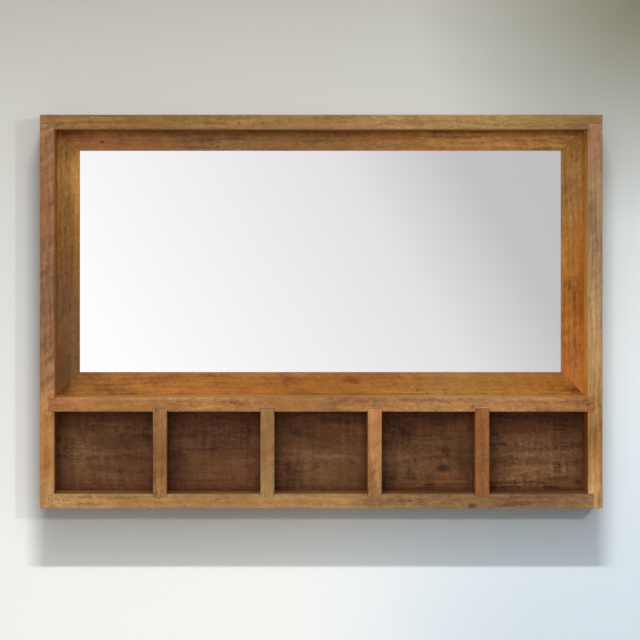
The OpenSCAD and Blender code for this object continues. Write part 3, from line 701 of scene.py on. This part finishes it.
for node, pale, dark, rosy, seed, toning in DIVIDER_LOOKS:
    # Shade painted on its faces beside the cubby back.
    light_and_shade = [("Y", PANEL_FRONT, 0.0, 0.04, BROWN_SHADE, way) for way in (LEFTWARD, RIGHTWARD)]
    divider_wood = mango(node + "_wood", node, ALONG_Z, pale, dark, rosy, seed=seed, heart=(0.05, 0.04),
                         toning=toning, light_and_shade=light_and_shade, curl_weight=1.0)
    finished(node, divider_wood, STEPS_ALONG_Z, on_carcass_skin)


# Cubby back. A dark, smoky mango panel with the grain running across, let into the rear rebates
# and screwed to the dividers from behind. Two knots show, in the fourth and fifth cubbies.
def left_as_planed(co):
    """False everywhere: a piece whose faces stay flat."""
    return False


# Paler and darker patches: across and up to the middle, half width, half height and tint. The two
# wide dark bands along the tops of the fourth and fifth cubbies are painted shade.
PANEL_MARKS = [
    (-0.435, -0.602, 0.045, 0.034, (1.2, 1.3, 1.3)), (-0.345, -0.585, 0.030, 0.040, (0.85, 0.75, 0.7)),
    (-0.255, -0.600, 0.020, 0.030, (0.7, 0.6, 0.6)), (-0.130, -0.545, 0.030, 0.024, (0.8, 0.6, 0.55)),
    (-0.185, -0.590, 0.040, 0.026, (0.8, 0.75, 0.75)), (-0.052, -0.630, 0.022, 0.022, (0.65, 0.6, 0.6)),
    (0.035, -0.602, 0.050, 0.008, (1.3, 1.35, 1.4)), (0.158, -0.557, 0.017, 0.024, (0.5, 0.4, 0.4)),
    (0.135, -0.600, 0.034, 0.013, (1.4, 1.5, 1.6)), (0.206, -0.574, 0.018, 0.014, (1.25, 1.2, 1.1)),
    (0.222, -0.642, 0.022, 0.014, (1.35, 1.2, 1.05)), (0.195, -0.655, 0.014, 0.008, (0.7, 0.5, 0.55)),
    (0.226, -0.590, 0.010, 0.016, (0.5, 0.4, 0.3)), (0.190, -0.534, 0.080, 0.020, (0.7, 0.6, 0.55)),
    (0.385, -0.602, 0.065, 0.032, (1.15, 1.2, 1.2)), (0.385, -0.538, 0.090, 0.024, (0.6, 0.5, 0.45)),
    (0.450, -0.546, 0.026, 0.020, (0.8, 0.6, 0.55)), (0.430, -0.640, 0.036, 0.005, (0.7, 0.6, 0.6)),
    (0.370, -0.632, 0.080, 0.022, (1.3, 1.4, 1.4)), (0.256, -0.600, 0.018, 0.040, (0.7, 0.65, 0.6)),
]
PANEL_STEPS = (0.012, 0.006, 0.012)
# Shade painted on the panel under the shelf, above the bottom board and beside each side and divider.
DARK_SHADE = (0.7, 0.48, 0.24)
painted_cubby_shade = [("Z", CUBBY_TOP, 0.0, 0.030, (0.58, 0.39, 0.17), OUTWARD),
             ("Z", CUBBY_FLOOR, 0.0, 0.007, DARK_SHADE, OUTWARD)]
for node in ("left_side", "divider_1", "divider_2", "divider_3", "divider_4", "right_side"):
    low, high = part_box(node)
    painted_cubby_shade.append(("X", (low.x + high.x) / 2, (high.x - low.x) / 2, 0.008, (0.66, 0.52, 0.4), OUTWARD))
panel_spalts = [((x, PANEL_FRONT, z), (across, 0.05, up), tint) for x, z, across, up, tint in PANEL_MARKS]
panel_wood = mango("cubby_back_wood", "cubby_back_panel", ALONG_X, (141, 99, 64), (68, 41, 22), (116, 72, 46),
                   seed=12.4, heart=(0.12, 0.02), wander=0.03, swirl=0.012, ring_weight=0.25, band_weight=0.8,
                   streak_weight=0.8, strand_weight=1.2, speck_weight=0.8, curl_weight=0.7, blotch_weight=0.9,
                   chatter_weight=1.4, light_and_shade=painted_cubby_shade,
                   toning=[(0.0, (0.95, 0.95, 0.95)), (0.27, (0.9, 0.8, 0.8)), (0.5, (1.05, 1.05, 1.05)),
                           (0.7, (1.0, 1.0, 1.0)), (0.9, (1.2, 1.2, 1.2)), (1.0, (1.1, 1.1, 1.1))],
                   knots=[((0.222, PANEL_FRONT, -0.622), 0.009), ((0.4645, PANEL_FRONT, -0.646), 0.005)],
                   spalts=panel_spalts)
finished("cubby_back_panel", panel_wood, PANEL_STEPS, left_as_planed)


# Mirror frame. Four amber mango members, mitred at the corners and eased at the sight edge, let
# into the rear rebates and pinned there. Shade and light are painted where they meet the carcass.
BAY_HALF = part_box("right_side")[0].x
FRAME_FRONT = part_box("frame_top_rail")[0].y
FRAME_SKIN = 0.0006
# Painted shade under the top board and beside the right side, painted light beside the left side and above
# the shelf, and a thin painted shade line in the corner at the shelf.
bay_light_and_shade = [("Z", BAY_TOP, 0.0, 0.012, (0.5, 0.34, 0.14), OUTWARD),
           ("X", BAY_HALF, 0.0, 0.007, (0.84, 0.76, 0.6), OUTWARD),
           ("X", -BAY_HALF, 0.0, 0.012, (1.25, 1.2, 1.1), OUTWARD),
           ("Z", BAY_FLOOR, 0.0, 0.014, (1.3, 1.35, 1.15), OUTWARD),
           ("Z", BAY_FLOOR, 0.0, 0.002, (0.85, 0.8, 0.75), OUTWARD)]
FRAME_LOOKS = [
    ("frame_top_rail", ALONG_X, (207, 155, 94), (122, 80, 43), (184, 120, 72), 13.3, 1.0,
     [((-0.393, FRAME_FRONT, -0.034), 0.003)],
     [(0.0, (1.0, 0.9, 0.85)), (0.08, (0.95, 0.9, 0.9)), (0.25, (0.75, 0.75, 0.85)),
      (0.5, (0.85, 0.85, 0.95)), (0.75, (1.3, 1.25, 1.2)), (1.0, (1.2, 1.3, 1.1))], []),
    ("frame_bottom_rail", ALONG_X, (191, 132, 62), (119, 76, 36), (177, 107, 50), 14.8, 1.7, [],
     [(0.0, (0.7, 0.65, 0.75)), (0.07, (0.9, 0.85, 0.9)), (0.25, (1.0, 0.95, 0.95)),
      (0.5, (1.0, 0.9, 0.85)), (0.62, (1.0, 1.0, 0.95)), (0.75, (1.15, 1.3, 1.65)),
      (1.0, (0.95, 0.95, 0.55))],
     [((0.055, FRAME_FRONT, -0.462), (0.020, 0.05, 0.008), (0.62, 0.5, 0.45)),
      # Painted shade in the bay's bottom corners.
      ((-0.462, FRAME_FRONT, -0.478), (0.016, 0.05, 0.016), (0.55, 0.55, 0.6)),
      ((0.462, FRAME_FRONT, -0.480), (0.022, 0.05, 0.010), (0.45, 0.4, 0.38))]),
    # The left stile turns paler towards its top, partly in the wood and partly as painted light where the top
    # board shades it.
    ("frame_left_stile", ALONG_Z, (174, 125, 70), (104, 71, 38), (155, 100, 55), 15.6, 1.1, [],
     [(0.0, (0.7, 0.65, 0.75)), (0.1, (0.7, 0.7, 0.85)), (0.35, (0.75, 0.75, 1.0)),
      (0.55, (0.95, 0.9, 0.7)), (0.75, (1.3, 1.35, 1.1)), (0.92, (1.5, 1.5, 1.45)),
      (1.0, (1.35, 1.2, 1.15))], []),
    ("frame_right_stile", ALONG_Z, (191, 134, 64), (115, 72, 33), (175, 107, 48), 17.2, 1.5, [],
     [(0.0, (1.2, 1.15, 1.45)), (0.3, (1.05, 0.85, 0.6)), (0.55, (1.0, 1.05, 0.8)),
      (0.75, (0.85, 0.95, 1.25)), (1.0, (1.0, 1.2, 1.3))],
     [((0.445, FRAME_FRONT, -0.288), (0.014, 0.05, 0.012), (0.7, 0.66, 0.6))]),
]


RAIL_STEPS, STILE_STEPS = (0.012, 0.004, 0.006), (0.006, 0.004, 0.012)


def on_frame_face(co):
    """True on the front faces of the frame, between their arrises."""
    return co.y < FRAME_FRONT + FRAME_SKIN


for node, grain, pale, dark, rosy, seed, blotches, knots, toning, spalts in FRAME_LOOKS:
    member_wood = mango(node + "_wood", node, grain, pale, dark, rosy, seed=seed, toning=toning, knots=knots,
                        spalts=spalts, light_and_shade=bay_light_and_shade, streak_weight=0.8, blotch_weight=blotches)
    steps = RAIL_STEPS if grain == ALONG_X else STILE_STEPS
    finished(node, member_wood, steps, on_frame_face)


# Mitre keys and dowels. Bare hardwood slips glued into kerfs across the mitres, and fluted dowels
# hidden in the carcass joints.
def coat_as_sawn(node, finish):
    """A piece that keeps its sawn shape, in that finish."""
    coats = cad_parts[node].data.materials
    coats.clear()
    coats.append(finish)


KEY_STEPS = (0.01, 0.01, 0.01)
key_wood = mango("key_wood", "mitre_keys", ALONG_Z, (214, 178, 126), (160, 120, 74), (196, 150, 104),
                 seed=18.1)
finished("mitre_keys", key_wood, KEY_STEPS, left_as_planed)
dowel_wood = mango("dowel_wood", "carcass_dowels", ALONG_Z, (218, 186, 138), (176, 140, 94), (204, 164, 118),
                   seed=19.4)
coat_as_sawn("carcass_dowels", dowel_wood)


# Mirror. Four millimetre float glass, its edges ground and its back silvered and painted grey. It
# lies in the frame's rebate and shows through the sight opening. It doesn't show the key lamp.
def plain_finish(recipe, colour, metallic, roughness, normal=None):
    """Fills a recipe with one shader of those values."""
    sockets = {"Base Color": colour, "Metallic": metallic, "Roughness": roughness}
    if normal is not None:
        sockets["Normal"] = normal
    coat_with(recipe, add(recipe, "ShaderNodeBsdfPrincipled", sockets).outputs[0])


silvering, recipe = blank_finish("silvered_glass")
haze = noise_at(recipe, here_on(recipe), 7.0, 3.0)[0]
smear = reckon(recipe, "MULTIPLY_ADD", haze, 0.012, 0.004)
glass_tint = shade(recipe, haze, on_screen(254, 254, 254), on_screen(252, 253, 253))
plain_finish(recipe, glass_tint, 1.0, smear)

ground_glass, recipe = blank_finish("ground_glass_edge")
grinding = noise_at(recipe, here_on(recipe), 1800.0)[0]
edge_tint = shade(recipe, grinding, on_screen(120, 168, 150), on_screen(172, 206, 194))
plain_finish(recipe, edge_tint, 0.0, reckon(recipe, "MULTIPLY_ADD", grinding, 0.2, 0.3),
             bumped(recipe, grinding, 0.2, 0.00005))

back_paint, recipe = blank_finish("mirror_back_paint")
flow = noise_at(recipe, here_on(recipe), 60.0, 3.0)[0]
grey_paint = shade(recipe, flow, on_screen(98, 104, 110), on_screen(118, 124, 130))
plain_finish(recipe, grey_paint, 0.0, reckon(recipe, "MULTIPLY_ADD", flow, 0.15, 0.42))

GROUND_EDGE = 0.0006
low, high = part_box("mirror_glass")
pane = bmesh.new()
bmesh.ops.create_cube(pane, size=1.0)
for vertex in pane.verts:
    vertex.co = (low + high) / 2 + Vector(c * s for c, s in zip(vertex.co, high - low))
bmesh.ops.bevel(pane, geom=pane.edges[:], offset=GROUND_EDGE, segments=2, profile=0.5, affect="EDGES")
pane.normal_update()
for face in pane.faces:
    face.material_index = 0 if face.normal.y < -0.999 else 2 if face.normal.y > 0.999 else 1
mesh = bpy.data.meshes.new("mirror_pane")
pane.to_mesh(mesh)
pane.free()
for finish in (silvering, ground_glass, back_paint):
    mesh.materials.append(finish)
mirror_pane = placed("mirror_pane", mesh)
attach(mirror_pane, "root")
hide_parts("mirror_glass")
key.light_linking.receiver_collection = lamp_group("out_of_mirror", mirror_pane, "EXCLUDE")


# Backing board. Six millimetre fibreboard behind the glass, cut to the same size and held with it
# by the clips.
BACKING_STEPS = (0.05, 0.01, 0.05)
fibreboard, recipe = blank_finish("fibreboard")
here = here_on(recipe)
fuzz = noise_at(recipe, here, 900.0, 4.0, 0.7)[0]
cloud = noise_at(recipe, here, 14.0, 3.0)[0]
speckle = reckon(recipe, "MULTIPLY_ADD", cloud, 0.4, reckon(recipe, "MULTIPLY", fuzz, 0.6))
board_tint = shade(recipe, speckle, on_screen(140, 108, 74), on_screen(190, 160, 122))
plain_finish(recipe, board_tint, 0.0, reckon(recipe, "MULTIPLY_ADD", cloud, 0.1, 0.8),
             bumped(recipe, fuzz, 0.3, 0.0002))
finished("mirror_backing_board", fibreboard, BACKING_STEPS, left_as_planed)


# Metal. Clips, hanger plates and panel screws of zinc-plated steel, and pins and small screws of
# bright steel. All of it is drawn along Z and a little cloudy.
def metal(name, pale, dark, roughness):
    """Drawn metal, in on-screen colours."""
    finish, recipe = blank_finish(name)
    here = here_on(recipe)
    lines = grain_noise(recipe, here, (3000.0, 3000.0, 90.0), 3.0)[0]
    cloud = noise_at(recipe, here, 260.0, 3.0)[0]
    plain_finish(recipe, shade(recipe, cloud, on_screen(*dark), on_screen(*pale)), 1.0,
                 reckon(recipe, "MULTIPLY_ADD", lines, 0.2, roughness),
                 bumped(recipe, lines, 0.15, 0.00005))
    return finish


zinc_plate = metal("zinc_plate", (206, 206, 200), (168, 170, 166), 0.28)
bright_steel = metal("bright_steel", (188, 188, 190), (140, 141, 144), 0.24)
for node, finish in (("mirror_clips", zinc_plate), ("back_panel_screws", zinc_plate),
                     ("hanger_plate_left", zinc_plate), ("hanger_plate_right", zinc_plate),
                     ("hanger_screws", bright_steel), ("mirror_clip_screws", bright_steel),
                     ("frame_pins", bright_steel)):
    coat_as_sawn(node, finish)
